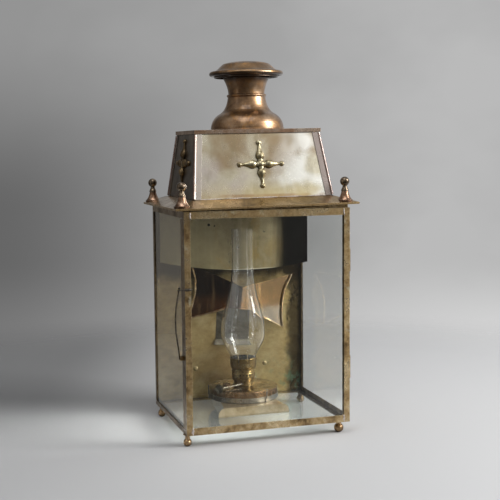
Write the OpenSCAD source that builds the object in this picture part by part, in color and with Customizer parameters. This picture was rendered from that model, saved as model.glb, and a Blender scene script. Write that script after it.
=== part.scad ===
/* [Body] */
// Width of the glazed body, outside its corner posts
body_w = 275; // [265:1:290]
// Depth of the body, from the door's face to the back
body_d = 226; // [220:1:236]
// Height of the underside of the bottom frame
foot_h = 19.5; // [17:0.5:23]
// Height of the top of the body, where the roof sits
body_top = 374; // [370:1:385]
// Height of the side and back rails of the bottom frame
side_rail_h = 7; // [6:0.5:9]
// Thickness of the folded brass strip
strip_t = 1.2; // [1:0.1:1.4]
// Thickness of the window glass
pane_t = 2.2; // [2:0.1:2.4]

/* [Door] */
// Depth of the door frame
door_depth = 8; // [7:0.5:9]
// Face width of the door's upright stiles
stile_w = 10; // [9:0.5:12]
// Height of the door's rails
rail_h = 11.5; // [10:0.5:13]
// Length of one hinge
hinge_len = 36; // [30:1:40]
// Height of the spring catch above the ground
catch_z = 251; // [240:1:260]

/* [Roof] */
// Angle at which the whole roof sits a little crooked, its right side up
roof_tilt = 0.82; // [0:0.02:0.9]
// Width across the eaves
eaves_w = 303; // [300:1:306]
// Depth across the eaves
eaves_d = 240.6; // [239:0.2:243]
// Rise of the pitched eaves above the body
eaves_rise = 13; // [10:0.5:15]
// Width of the roof at its foot
roof_foot_w = 231; // [228:1:238]
// Depth of the roof at its foot
roof_foot_d = 178; // [172:1:184]
// Width of the roof at its head
roof_head_w = 206; // [203:1:208]
// Depth of the roof at its head
roof_head_d = 120; // [116:0.5:121]
// Height of the roof's head above its foot
roof_rise = 108; // [100:1:116]
// Width of the copper plate on the roof's head
crown_w = 213; // [213:1:220]
// Depth of the copper plate on the roof's head
crown_d = 127.2; // [127:0.2:132]
// Reach of one arm of the turned cross
cross_arm = 39.5; // [36:0.5:42]

/* [Cowl] */
// Radius of the bell's foot
bell_r = 60.5; // [58:0.5:62]
// Radius at the waist
waist_r = 30; // [28:0.5:33]
// Radius of the cap, outside its rolled rim
cap_r = 61; // [58:0.5:63]
// Thickness of the spun copper
copper_t = 1; // [0.8:0.1:1.2]

/* [Lamp] */
// Place of the lamp, left to right
lamp_x = 1.5; // [-2:0.5:4]
// Place of the lamp, front to back
lamp_y = 38; // [34:0.5:40]
// Radius of the oil font
font_r = 58; // [54:0.5:59]
// Radius of the gallery that holds the glass
gallery_r = 23; // [22:0.5:25]
// Radius of the glass chimney at its bulge
bulge_r = 38; // [32:0.5:38.5]
// Radius of the glass chimney's tube
tube_r = 18; // [15:0.5:19]
// Height of the glass chimney
chimney_h = 236; // [228:1:238]
// Number of holes in the pierced band of the burner
pierced_count = 22; // [16:2:24]
// Number of prongs of the gallery
prong_count = 8; // [6:1:10]

/* [Hidden] */
$fn = 72;

front_y = -body_d / 2;
back_y = body_d / 2;
half_w = body_w / 2;
door_gap = 0.5;
frame_y = front_y + door_depth + door_gap;
floor_z = foot_h + strip_t;
flange = 12;
post_leg = 14;
post_face = 9.5;
top_h = 13;
top_z = body_top - top_h;
channel_t = 0.8;
pane_x = half_w - strip_t - 0.1;
floor_t = 3.3;
floor_top = floor_z + floor_t;
plate_y = back_y - strip_t - 1;

// The feet and the knobs are not set quite square, as on the old lantern
feet_xy = [[-133, -98], [124, -98], [-130.5, 97], [131, 105]];
foot_ball_r = [6.8, 7.9, 6.8, 7.4];
finial_xy = [[-138.6, -107.4], [131.5, -107.4], [-137.4, 107], [136, 107]];

eaves_lip = 2.2;
roof_z = body_top + eaves_rise;
roof_head_z = roof_z + roof_rise;
crown_lip = 6;
crown_z = roof_head_z + 1.2;

// The crooked roof leans to the left as it rises, so its upper pieces are set a little to the right
roof_x = 1.2;
crown_x = 2;
cowl_x = 2.6;
module on_roof(x = 0)
    translate([-eaves_w / 2, 0, body_top]) rotate([0, -roof_tilt, 0])
        translate([eaves_w / 2 + x, 0, -body_top]) children();

// Solid with four sloping sides: its foot and its head are rectangles
module sloped_block(foot, head, z0, z1)
    intersection_for(side = [0, 1])
        rotate([90, 0, side * 90]) translate([0, 0, -250]) linear_extrude(500)
            polygon([[-foot[side] / 2, z0], [foot[side] / 2, z0], [head[side] / 2, z1],
                [-head[side] / 2, z1]]);

// Points of a cubic curve between a and d that leans on b and c
function curve(a, b, c, d, n = 8) =
    [for (i = [0:n]) let (t = i / n, s = 1 - t)
        s * s * s * a + 3 * s * s * t * b + 3 * s * t * t * c + t * t * t * d];
function shifted(points, by) = [for (p = points) p + by];
function reversed(points) = [for (i = [len(points) - 1:-1:0]) points[i]];

// Folded angle strip that stands at a corner, with its legs towards the middle
module corner_angle(sx, y, sy, face, side, z0, z1)
    translate([sx * half_w, y, z0])
        mirror([sx > 0 ? 1 : 0, 0, 0])
            mirror([0, sy > 0 ? 1 : 0, 0])
                linear_extrude(z1 - z0)
                    polygon([[0, 0], [face, 0], [face, strip_t], [strip_t, strip_t], [strip_t, side],
                        [0, side]]);

// Rectangular ring of strip around the body
module body_ring(z0, z1, wall)
    difference() {
        translate([-half_w, frame_y, z0]) cube([body_w, back_y - frame_y, z1 - z0]);
        translate([-half_w + wall, frame_y + wall, z0 - 1])
            cube([body_w - 2 * wall, back_y - frame_y - 2 * wall, z1 - z0 + 2]);
    }

module base_frame() color("darkgoldenrod") {
    body_ring(foot_h, foot_h + side_rail_h, strip_t);
    body_ring(foot_h, foot_h + strip_t, flange);
}

// Turned ball foot with a tapered neck, cut flat where it rests
module foot(r)
    rotate_extrude()
        difference() {
            union() {
                translate([0, r]) intersection() {
                    circle(r);
                    translate([0, -r]) square([r, 2 * r]);
                }
                polygon([[0, r], [r * 0.62, r * 1.7], [r * 0.55, foot_h - 3], [r * 1.05, foot_h],
                    [0, foot_h]]);
            }
            translate([-1, -1]) square([r + 2, 1.5]);
        }

module feet() color("goldenrod")
    for (i = [0:3])
        translate([feet_xy[i].x, feet_xy[i].y, -0.5])
            union() {
                foot(foot_ball_r[i]);
                translate([0, 0, foot_h - 0.1]) cylinder(h = 0.6, r = foot_ball_r[i] * 1.05);
            }

module post_front_left() color("darkgoldenrod")
    corner_angle(-1, frame_y, -1, post_face, post_leg, foot_h + side_rail_h, top_z);
module post_front_right() color("darkgoldenrod")
    corner_angle(1, frame_y, -1, post_face, post_leg, foot_h + side_rail_h, top_z);
module post_back_left() color("darkgoldenrod")
    corner_angle(-1, back_y, 1, post_face, post_face, foot_h + side_rail_h, top_z);
module post_back_right() color("darkgoldenrod")
    corner_angle(1, back_y, 1, post_face, post_face, foot_h + side_rail_h, top_z);

module top_frame() color("darkgoldenrod")
    difference() {
        union() {
            body_ring(top_z, body_top + 6, strip_t);
            body_ring(body_top - strip_t, body_top - 0.1, flange);
        }
        on_roof() translate([-250, -250, body_top]) cube([500, 500, 20]);
    }

module floor_glass() color("lightcyan", 0.5)
    translate([-pane_x + pane_t + channel_t + 0.2, frame_y + strip_t + 0.1, floor_z])
        cube([2 * (pane_x - pane_t - channel_t - 0.2),
            plate_y - channel_t - frame_y - strip_t - 0.2, floor_t]);

module side_pane(sx)
    translate([sx > 0 ? pane_x - pane_t : -pane_x, frame_y + strip_t + channel_t, floor_z])
        cube([pane_t, plate_y - frame_y - strip_t - 2 * channel_t, top_z - floor_z + 6]);

module left_glass() color("lightcyan", 0.35) side_pane(-1);
module right_glass() color("lightcyan", 0.35) side_pane(1);

// Folded strips that hold the side panes: one up each post and one along each sill
module glass_channels() color("saddlebrown")
    for (sx = [-1, 1])
        mirror([sx > 0 ? 1 : 0, 0, 0]) {
            for (end = [0, 1])
                translate([-half_w + strip_t, end == 0 ? frame_y + strip_t : plate_y, floor_z])
                    mirror([0, end, 0])
                        linear_extrude(top_z - floor_z)
                            polygon([
                                [0, 0], [pane_t + channel_t + 0.2, 0], [pane_t + channel_t + 0.2, 7],
                                [pane_t + 0.2, 7], [pane_t + 0.2, channel_t], [0, channel_t]
                            ]);
            translate([-pane_x + pane_t + 0.1, frame_y + strip_t + 7, floor_z])
                cube([channel_t, plate_y - frame_y - strip_t - 14, 11.8]);
        }

hang_hole_x = 50;
hang_hole_z = 337;
module back_plate() color("olive")
    difference() {
        translate([-pane_x, plate_y, floor_z]) cube([2 * pane_x, 1, body_top - strip_t - floor_z]);
        for (sx = [-1, 1])
            translate([sx * hang_hole_x, plate_y - 1, hang_hole_z]) rotate([-90, 0, 0])
                cylinder(h = 3, r = 3);
    }

module back_sill() color("saddlebrown")
    translate([-pane_x + pane_t + channel_t + 0.2, plate_y - channel_t, floor_z])
        cube([2 * (pane_x - pane_t - channel_t - 0.2), channel_t, 9.8]);

rivet_r = 4.6;
module back_rivets() color("goldenrod")
    for (p = [[-65, 78], [64, 79]])
        translate([p.x, plate_y, p.y]) rotate([90, 0, 0])
            rotate_extrude()
                intersection() {
                    translate([0, -4]) circle(5.9);
                    square([rivet_r, 3]);
                }

// The curved sheet behind the top of the glass: bowed forward, with a hanging lower edge
shield_y = 64;
shield_bow = 7;
shield_half = 132.8;
shield_r = (shield_half * shield_half + shield_bow * shield_bow) / (2 * shield_bow);
shield_z = 257;
shield_edge_r = 687;
module heat_shield() color("olive")
    difference() {
        intersection() {
            translate([0, shield_y + shield_r, shield_z - 10])
                difference() {
                    cylinder(h = body_top - strip_t - shield_z + 10, r = shield_r, $fn = 180);
                    translate([0, 0, -1])
                        cylinder(h = body_top - shield_z + 12, r = shield_r - 0.9, $fn = 180);
                }
            translate([-shield_half, 0, 0]) cube([2 * shield_half, shield_y + shield_bow + 6, body_top]);
            translate([23, 0, shield_z + shield_edge_r])
                rotate([-90, 0, 0]) cylinder(h = 120, r = shield_edge_r, $fn = 180);
        }
        translate([-hang_hole_x, shield_y - 5, hang_hole_z]) rotate([-90, 0, 0])
            cylinder(h = 12, r = 2.6);
        translate([-40, shield_y - 5, hang_hole_z - 2]) rotate([-90, 0, 0]) cylinder(h = 12, r = 1.7);
    }

// Bow-shaped reflector: one sheet folded at the middle, its wings raked back, their edges turned forward
reflector_at = [12, 81, 200];
reflector_tilt = 8;
wing_rake = 12;
wing_low = [[0, -15], [24, -15], [44, -25], [91, -43]];
wing_out = curve([91, -43], [82, -16], [77, 22], [95, 55], 5);
wing_side = concat([for (i = [1:3]) wing_low[i]], [for (i = [1:5]) wing_out[i]]);
wing_half = concat([wing_low[0]], wing_side);
function flipped(points) = [for (p = points) [-p.x, p.y]];
function leftward(p, q) = [p.y - q.y, q.x - p.x] / norm(q - p);
function inset(path, w) =
    let (last = len(path) - 1)
        [for (i = [0:last])
            let (
                before = leftward(path[max(i - 1, 0)], path[max(i, 1)]),
                after = leftward(path[min(i, last - 1)], path[min(i + 1, last)]),
                n = before + after
            )
                path[i] + w * n / norm(n)];
module reflector_band(front, back)
    translate([0, 0, -60]) linear_extrude(130)
        polygon([
            [-110, 110 * tan(wing_rake) + front], [0, front], [110, 110 * tan(wing_rake) + front],
            [110, 110 * tan(wing_rake) + back], [0, back], [-110, 110 * tan(wing_rake) + back]
        ]);
module seen_from_front(points)
    rotate([90, 0, 0]) translate([0, 0, -40]) linear_extrude(60) polygon(points);
module wing_rims()
    for (sx = [0, 1])
        mirror([sx, 0, 0]) intersection() {
            reflector_band(-4.5, 0.8);
            seen_from_front(concat(wing_side, reversed(inset(wing_side, 1.2))));
        }
module reflector() color("peru")
    translate(reflector_at) rotate([0, reflector_tilt, 0]) union() {
        intersection() {
            reflector_band(0, 0.8);
            seen_from_front(concat(wing_half, [[0, 24]], reversed(flipped(wing_side))));
        }
        wing_rims();
    }

// Arched tab on the back plate, splayed out at its foot, with the two distance pieces that carry
// the reflector
bracket_x = 3;
bracket_foot_z = 126.5;
bracket_w = 62;
bracket_side = 56;
module reflector_tab() color("dimgray") {
    translate([bracket_x, plate_y, bracket_foot_z]) rotate([0, 3.3, 0]) {
        rotate([90, 0, 0]) linear_extrude(1) union() {
            translate([-bracket_w / 2, 0]) square([bracket_w, bracket_side]);
            translate([0, bracket_side]) circle(d = bracket_w);
        }
        translate([0, -1, 0]) rotate([60, 0, 0]) linear_extrude(1)
            polygon([[-bracket_w / 2, 0.5], [-bracket_w / 2 - 5, -10.5],
                [bracket_w / 2 + 5, -10.5], [bracket_w / 2, 0.5]]);
    }
    difference() {
        for (dx = [-1, 1])
            translate([reflector_at.x + dx * 10, reflector_at.y, reflector_at.z - dx * 2 + 6])
                rotate([-90, 0, 0]) cylinder(h = plate_y - reflector_at.y - 0.5, r = 3, $fn = 32);
        translate(reflector_at) rotate([0, reflector_tilt, 0]) reflector_band(-30, 0.8);
    }
}

module eaves_soffit() color("darkgoldenrod")
    on_roof() difference() {
        translate([-eaves_w / 2 + 1, -eaves_d / 2 + 1, body_top]) cube([eaves_w - 2, eaves_d - 2, 1]);
        translate([-105, -80, body_top - 1]) cube([210, 160, 3]);
    }

// Places its children on one sloping side: x along the foot, y up the slope, z outwards
module on_slope(turn, half_foot, half_head, z0, z1)
    rotate([0, 0, turn]) translate([0, -half_foot, z0])
        rotate([90 - atan2(half_foot - half_head, z1 - z0), 0, 0]) children();
function slope_len(half_foot, half_head, rise) = norm([half_foot - half_head, rise]);

// One flat sheet on a slope, its outer face on the slope's plane and its foot dressed off the eaves
module slope_sheet(foot, head, run, t)
    translate([0, 0, -t]) linear_extrude(t)
        polygon([[-foot / 2, 0.3], [foot / 2, 0.3], [head / 2, run], [-head / 2, run]]);

eaves_z = body_top + eaves_lip;
module eaves_outside()
    union() {
        translate([-eaves_w / 2, -eaves_d / 2, body_top - 0.8])
            cube([eaves_w, eaves_d, eaves_lip + 0.8]);
        sloped_block([eaves_w, eaves_d], [roof_foot_w + 4, roof_foot_d + 4], eaves_z, roof_z);
    }
module eaves_plate() color("darkkhaki")
    on_roof() difference() {
        eaves_outside();
        translate([-eaves_w / 2 + 1, -eaves_d / 2 + 1, body_top - 2])
            cube([eaves_w - 2, eaves_d - 2, 2 + eaves_lip - 1]);
        sloped_block([eaves_w - 2, eaves_d - 2],
            [roof_foot_w - 2, roof_foot_d - 2], eaves_z - 1, roof_z - 1);
        translate([roof_x - roof_foot_w / 2 + 3, -roof_foot_d / 2 + 3, body_top])
            cube([roof_foot_w - 6, roof_foot_d - 6, eaves_rise + 5]);
    }

// Spun cones, their flanges dressed to the slope of the eaves that they stand on
finial_z = body_top + 5;
cone_h = 15;
module finial_cones() color("sienna")
    on_roof() difference() {
        for (p = finial_xy)
            translate([p.x, p.y, finial_z])
                rotate_extrude()
                    polygon(concat(
                        [[0, -3], [12.8, -3], [12.8, 1.2]],
                        curve([11.6, 1.4], [9, 4], [6.5, 9], [5.4, cone_h], 6),
                        [[0, cone_h]]
                    ));
        eaves_outside();
    }

knob_r = 7.6;
module finial_knobs() color("goldenrod")
    on_roof() for (p = finial_xy)
        translate([p.x, p.y, finial_z + cone_h])
            rotate_extrude()
                union() {
                    polygon(concat([[0, 0]], curve([6.2, 0], [6.4, 3.5], [3.4, 5], [3.6, 9], 5),
                        [[0, 9]]));
                    intersection() {
                        translate([0, 8 + knob_r]) circle(knob_r);
                        square([knob_r, 30]);
                    }
                }

roof_run_y = slope_len(roof_foot_d / 2, roof_head_d / 2, roof_rise);
roof_run_x = slope_len(roof_foot_w / 2, roof_head_w / 2, roof_rise);
module front_slope(turn)
    on_roof(roof_x) on_slope(turn, roof_foot_d / 2, roof_head_d / 2, roof_z, roof_head_z) children();
module side_slope(turn)
    on_roof(roof_x) on_slope(turn, roof_foot_w / 2, roof_head_w / 2, roof_z, roof_head_z) children();

// The four sheets stop short of the hips, where the beads fill the corners
bead_r = 2.1;
hip_gap = bead_r + 0.3;
module front_sheet(turn)
    front_slope(turn)
        slope_sheet(roof_foot_w - 2 * hip_gap, roof_head_w - 2 * hip_gap, roof_run_y, 1);
module side_sheet(turn)
    side_slope(turn)
        slope_sheet(roof_foot_d - 2 * hip_gap, roof_head_d - 2 * hip_gap, roof_run_x, 1);
module roof_front() color("darkkhaki") front_sheet(0);
module roof_back() color("darkkhaki") front_sheet(180);
module roof_left() color("darkkhaki") side_sheet(-90);
module roof_right() color("darkkhaki") side_sheet(90);

// Copper angle over each hip: a leaf on either slope and a round bead along the corner, which
// ends under the crown's lip
hip_leaf = 11;
module hip_leaves(foot, head, run)
    for (sx = [-1, 1])
        mirror([sx > 0 ? 1 : 0, 0, 0])
            linear_extrude(1)
                polygon([[-foot / 2 + 0.2, 0.4], [-foot / 2 + hip_leaf, 0.4],
                    [-head / 2 + hip_leaf, run - 1], [-head / 2 + 0.2, run - 1]]);
module hip_bead(sx, sy) {
    foot = [sx * roof_foot_w / 2, sy * roof_foot_d / 2, roof_z + 1.5];
    lean = [sx * (roof_head_w - roof_foot_w) / 2, sy * (roof_head_d - roof_foot_d) / 2, roof_rise];
    run = lean * (1 - (crown_lip + 2) / roof_rise);
    on_roof(roof_x) translate(foot) rotate([0, acos(run.z / norm(run)), atan2(run.y, run.x)])
        cylinder(h = norm(run), r = bead_r, $fn = 24);
}
module hip_strips() color("sienna") {
    for (turn = [0, 180]) {
        front_slope(turn) hip_leaves(roof_foot_w, roof_head_w, roof_run_y);
        side_slope(turn + 90) hip_leaves(roof_foot_d, roof_head_d, roof_run_x);
    }
    for (sx = [-1, 1]) for (sy = [-1, 1]) hip_bead(sx, sy);
}

// One turned arm of the cross, along +X: a vase, a thin neck and a ball, flat at the back
arm_profile = concat(
    [[6.5, 0], [6.5, 4.5], [8, 4.5]],
    curve([8, 4.8], [12, 8.6], [16, 7.6], [21, 4.6], 6),
    curve([23, 3.8], [27, 2.6], [30, 2.4], [32.5, 2.8], 4),
    curve([33.2, 3.9], [36, 5.2], [cross_arm - 0.2, 4.2], [cross_arm, 0], 5)
);
module cross_arm_half()
    intersection() {
        rotate([0, 90, 0]) rotate_extrude($fn = 48) polygon([for (p = arm_profile) [p.y, p.x]]);
        translate([0, -20, 0]) cube([60, 40, 20]);
    }
module turned_cross()
    union() {
        for (a = [0, 90, 180, 270]) rotate([0, 0, a]) cross_arm_half();
        intersection() {
            union() {
                sphere(6.6);
                for (a = [0, 90]) rotate([0, 90, a]) translate([0, 0, -7])
                    cylinder(h = 14, r = 5, $fn = 48);
            }
            translate([-10, -10, 0]) cube([20, 20, 12]);
        }
    }
module cross_front() color("goldenrod") front_slope(0) translate([-0.8, 55, 0]) turned_cross();
module cross_left() color("goldenrod") side_slope(-90) translate([0, 57, 0]) turned_cross();
module cross_right() color("goldenrod") side_slope(90) translate([0, 57, 0]) turned_cross();

flue_r = 42;
module crown_plate() color("sienna")
    on_roof(crown_x) difference() {
        translate([-crown_w / 2, -crown_d / 2, crown_z - crown_lip]) cube([crown_w, crown_d, crown_lip]);
        translate([-crown_w / 2 + 1, -crown_d / 2 + 1, crown_z - crown_lip - 1])
            cube([crown_w - 2, crown_d - 2, crown_lip - 0.2]);
        translate([0, 0, crown_z - 5]) cylinder(h = 10, r = flue_r);
    }

// Spun cowl: a bell, a waisted neck with a bead, and a cap that stands clear of the neck
bell_h = 53.4;
bell_line = concat(
    curve([bell_r, 1.8], [bell_r - 0.3, 12.5], [bell_r - 5.5, 21], [bell_r - 14.5, 26.2], 8),
    curve([bell_r - 15, 26.5], [waist_r + 7.5, 31], [waist_r + 3, 39.5], [waist_r + 1.2, bell_h], 8)
);
neck_h = 31;
neck_line = curve([waist_r, 5.4], [waist_r + 0.2, 14], [waist_r + 3.2, 22],
    [waist_r + 7.5, neck_h - 1], 8);
module spun(line, t)
    rotate_extrude($fn = 96) polygon(concat(line, reversed(shifted(line, [-t, 0]))));

module cowl_bell() color("sienna")
    on_roof(cowl_x) translate([0, 0, crown_z]) union() {
        rotate_extrude($fn = 96)
            polygon([[bell_r - 2, 0], [bell_r + 1.2, 0], [bell_r + 1.2, 1.2], [bell_r, 1.8],
                [bell_r - 2, 1.8]]);
        spun(bell_line, copper_t);
    }

module cowl_neck() color("sienna")
    on_roof(cowl_x) translate([0, 0, crown_z + bell_h]) union() {
        rotate_extrude($fn = 96)
            polygon(concat(
                [[waist_r - 1, 0], [waist_r + 1.4, 0]],
                curve([waist_r + 2, 1], [waist_r + 3.2, 2], [waist_r + 3.2, 4], [waist_r + 1.2, 4.8], 4),
                [[waist_r, 5.4], [waist_r - 1, 5.4]]
            ));
        spun(neck_line, copper_t);
        translate([0, 0, neck_h - 1])
            rotate_extrude($fn = 96) polygon([
                [waist_r + 6.5, 0], [waist_r + 8.6, 0], [waist_r + 8.6, 1.5], [waist_r + 6.5, 1.5]
            ]);
    }
neck_top = crown_z + bell_h + neck_h + 0.5;

cap_rim_z = crown_z + 91.9;
cap_line = concat(
    [[0, 20.4]],
    curve([10, 20.3], [24, 19.6], [34, 17.6], [38.5, 15.6], 6),
    curve([39.5, 14.8], [44, 10.8], [48, 6.5], [51.5, 4.8], 5),
    [[cap_r - 3.6, 3.8]]
);
module cowl_cap() color("sienna")
    on_roof(cowl_x) translate([0, 0, cap_rim_z]) union() {
        rotate_extrude($fn = 96) polygon(concat(cap_line, reversed(shifted(cap_line, [0, -copper_t]))));
        rotate_extrude($fn = 96) translate([cap_r - 3.9, 0]) circle(r = 3.9, $fn = 32);
    }

// Short collar under the cap, which the three straps carry
collar_r = 53;
module cap_collar() color("saddlebrown")
    on_roof(cowl_x) translate([0, 0, cap_rim_z - 6.5]) difference() {
        cylinder(h = 9.8, r = collar_r, $fn = 96);
        translate([0, 0, -1]) cylinder(h = 12, r = collar_r - 1.2, $fn = 96);
    }

module cap_straps() color("saddlebrown")
    on_roof(cowl_x) for (a = [90, 210, 330])
        rotate([0, 0, a]) translate([waist_r + 3, -4, neck_top])
            cube([collar_r - 1.25 - waist_r - 3, 8, 1.2]);

// Folded brass stand for the lamp: a table with a front and a back apron
stand_x = [-64.5, 58.5];
stand_y = [-36.5, 103];
stand_h = 15.5;
apron_corner = 12;
back_apron_x = [-36.5, 39.5];
back_corner = 4;
module apron(x, y, r)
    translate([0, y, floor_top]) rotate([90, 0, 0]) linear_extrude(1.2) intersection() {
        translate([x[0], 0]) square([x[1] - x[0], stand_h]);
        hull() for (c = [x[0] + r, x[1] - r]) {
            translate([c, stand_h - r]) circle(r, $fn = 48);
            translate([c - r, -1]) square([2 * r, 1]);
        }
    }
module lamp_stand() color("darkkhaki") {
    apron(stand_x, stand_y[0] + 1.2, apron_corner);
    apron(back_apron_x, stand_y[1], back_corner);
    translate([0, 0, floor_top + stand_h - 1.2]) linear_extrude(1.2) polygon([
        [stand_x[0] + apron_corner - 2, stand_y[0] + 0.6],
        [stand_x[1] - apron_corner + 2, stand_y[0] + 0.6],
        [back_apron_x[1] - back_corner + 1, stand_y[1] - 0.6],
        [back_apron_x[0] + back_corner - 1, stand_y[1] - 0.6]
    ]);
}
stand_top = floor_top + stand_h;

tray_h = 8.8;
module at_lamp(z) translate([lamp_x, lamp_y, z]) children();
module font_tray() color("lightsteelblue")
    at_lamp(stand_top) rotate_extrude($fn = 96) polygon([
        [0, 0], [font_r + 0.6, 0], [font_r + 1.4, 1], [font_r + 1.4, tray_h - 1], [font_r + 1.9, tray_h],
        [font_r + 0.5, tray_h], [font_r + 0.4, 1], [0, 1]
    ]);

// Bent brass guides, soldered to the tray, that stand beside the font
clip_turns = [23, 143, 263];
module font_clips() color("goldenrod")
    for (a = clip_turns)
        at_lamp(stand_top) rotate([0, 0, a]) translate([0, -font_r - 2, 0]) {
            translate([-2.2, -1.2, 0.1]) cube([4.4, 1.8, 6]);
            translate([0, -1.1, 6]) cylinder(h = 15, r = 1.1, $fn = 24);
            translate([0, -1.1, 21]) sphere(1.6, $fn = 24);
        }

// Hinges on the right-hand edge: knuckles turn on a pin
hinge_x = half_w + 2.4;
hinge_y = frame_y - 0.25;
hinge_zs = [91, 267];
knuckle_r = 2;
pin_r = 1;
pin_gap = 0.05;
leaf_gap = 1.6;
hinge_third = hinge_len / 3;
module hinge_plates() color("goldenrod")
    for (z = hinge_zs)
        difference() {
            union() {
                translate([half_w, hinge_y + leaf_gap, z + 1]) cube([0.8, 10, hinge_len - 2]);
                translate([half_w, hinge_y, z + hinge_third + 0.2]) cube([0.8, 2, hinge_third - 0.4]);
                translate([hinge_x, hinge_y, z + hinge_third + 0.2])
                    cylinder(h = hinge_third - 0.4, r = knuckle_r, $fn = 32);
            }
            translate([hinge_x, hinge_y, z - 1]) cylinder(h = hinge_len + 2, r = pin_r, $fn = 32);
        }
module hinge_pins() color("gray")
    for (z = hinge_zs)
        translate([hinge_x, hinge_y, z - 0.8]) {
            cylinder(h = hinge_len + 1.6, r = pin_r, $fn = 32);
            translate([0, 0, hinge_len + 1]) cylinder(h = 1.2, r = 1.9, $fn = 32);
        }
module door_hinges() color("goldenrod")
    for (z = hinge_zs)
        difference() {
            union() {
                translate([half_w, front_y + 0.8, z + 1])
                    cube([0.8, hinge_y - leaf_gap - front_y - 0.8, hinge_len - 2]);
                for (k = [0, 2]) {
                    translate([half_w, hinge_y - 2, z + k * hinge_third + 1])
                        cube([0.8, 2, hinge_third - 2]);
                    translate([hinge_x, hinge_y, z + k * hinge_third])
                        cylinder(h = hinge_third, r = knuckle_r, $fn = 32);
                }
            }
            translate([hinge_x, hinge_y, z - 1])
                cylinder(h = hinge_len + 2, r = pin_r + pin_gap, $fn = 32);
        }

// Front door: a folded frame whose rails butt between the stiles
door_z0 = foot_h + 0.3;
door_z1 = body_top - 2.4;
module door_frame() color("darkgoldenrod") {
    for (sx = [-1, 1])
        translate([sx * half_w, front_y, door_z0]) mirror([sx > 0 ? 1 : 0, 0, 0])
            linear_extrude(door_z1 - door_z0)
                polygon([[0, 0], [stile_w, 0], [stile_w, strip_t], [strip_t, strip_t],
                    [strip_t, door_depth], [0, door_depth]]);
    for (end = [0, 1])
        translate([-half_w + strip_t, front_y, end == 0 ? door_z0 : door_z1]) mirror([0, 0, end])
            rotate([90, 0, 90]) linear_extrude(body_w - 2 * strip_t)
                polygon([[0, 0], [door_depth, 0], [door_depth, strip_t], [strip_t, strip_t],
                    [strip_t, rail_h], [0, rail_h]]);
}

door_pane_y = front_y + strip_t + 0.05;
module door_glass() color("lightcyan", 0.3)
    translate([-half_w + 2.2, door_pane_y, door_z0 + 2.2])
        cube([body_w - 4.4, pane_t, door_z1 - door_z0 - 4.4]);

// Folded tabs that hold the pane in the door
tab_w = 12;
module door_tabs() color("goldenrod") {
    for (sx = [-1, 1]) for (z = [60, 190, 320])
        translate([sx > 0 ? half_w - strip_t - 7 : -half_w + strip_t, door_pane_y + pane_t, z])
            cube([7, 1, tab_w]);
    for (x = [-80, 68]) for (end = [0, 1])
        translate([x, door_pane_y + pane_t, end == 0 ? door_z0 + strip_t : door_z1 - strip_t - 7])
            cube([tab_w, 1, 7]);
}

// Wire keeper across the stile, which the spring catch rides over
keeper_y = front_y - 1.35;
keeper_end = -half_w - 12.5;
module door_keeper() color("dimgray") {
    translate([keeper_end, keeper_y, catch_z]) rotate([0, 90, 0])
        cylinder(h = 12.5 + stile_w, r = 1.35, $fn = 24);
    translate([keeper_end + 12.5 + stile_w, keeper_y, catch_z]) sphere(1.35, $fn = 24);
    difference() {
        for (dx = [2.5, 5.5]) translate([-half_w + dx, keeper_y, catch_z]) rotate([0, 90, 0])
            rotate_extrude($fn = 32) translate([1.5, 0]) circle(r = 0.9, $fn = 16);
        translate([-half_w, front_y, catch_z - 4]) cube([stile_w, 3, 8]);
    }
}

// Spring catch of bent wire, on a staple low down on the left post
catch_x = -half_w - 4;
catch_y = -98;
catch_foot_z = 141.5;
catch_pin_r = 1.1;
module catch_staple() color("goldenrod") {
    for (y = [catch_y - 4.6, catch_y + 3.4])
        difference() {
            translate([catch_x - 2.6, y, catch_foot_z - 3]) cube([6.6, 1.2, 6]);
            translate([catch_x, y - 1, catch_foot_z]) rotate([-90, 0, 0])
                cylinder(h = 4, r = catch_pin_r, $fn = 32);
        }
    translate([catch_x, catch_y - 5.4, catch_foot_z]) rotate([-90, 0, 0])
        cylinder(h = 10.8, r = catch_pin_r, $fn = 32);
}
wire_r = 1.1;
catch_path = concat(
    curve([catch_x - 2.3, catch_y, catch_foot_z + 0.6], [catch_x - 3, catch_y, 160],
        [catch_x - 9, catch_y - 2, 175],
        [catch_x - 9, catch_y - 4, 200], 4),
    curve([catch_x - 9, catch_y - 4.6, 208], [catch_x - 9, catch_y - 7, 225],
        [catch_x - 6, catch_y - 10, 240],
        [catch_x - 5, catch_y - 12, catch_z - 1.5], 3),
    curve([catch_x - 5, catch_y - 12.4, catch_z + 1.4], [catch_x - 5, catch_y - 13, catch_z + 3.6],
        [catch_x - 5, keeper_y + 1, catch_z + 3.6], [catch_x - 5, keeper_y - 2.2, catch_z + 3.3], 3)
);
module rod(p, q, r)
    translate(p) rotate([0, acos((q.z - p.z) / norm(q - p)), atan2(q.y - p.y, q.x - p.x)])
        cylinder(h = norm(q - p), r = r, $fn = 20);
module catch_wire() color("dimgray")
    difference() {
        union() {
            for (i = [1:len(catch_path) - 1]) rod(catch_path[i - 1], catch_path[i], wire_r);
            for (p = catch_path) translate(p) sphere(wire_r + 0.08, $fn = 20);
            translate([catch_x, catch_y - 3, catch_foot_z]) rotate([-90, 0, 0])
                cylinder(h = 6, r = 2.4, $fn = 32);
        }
        translate([catch_x, catch_y - 4, catch_foot_z]) rotate([-90, 0, 0])
            cylinder(h = 8, r = catch_pin_r + pin_gap, $fn = 32);
    }

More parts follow.
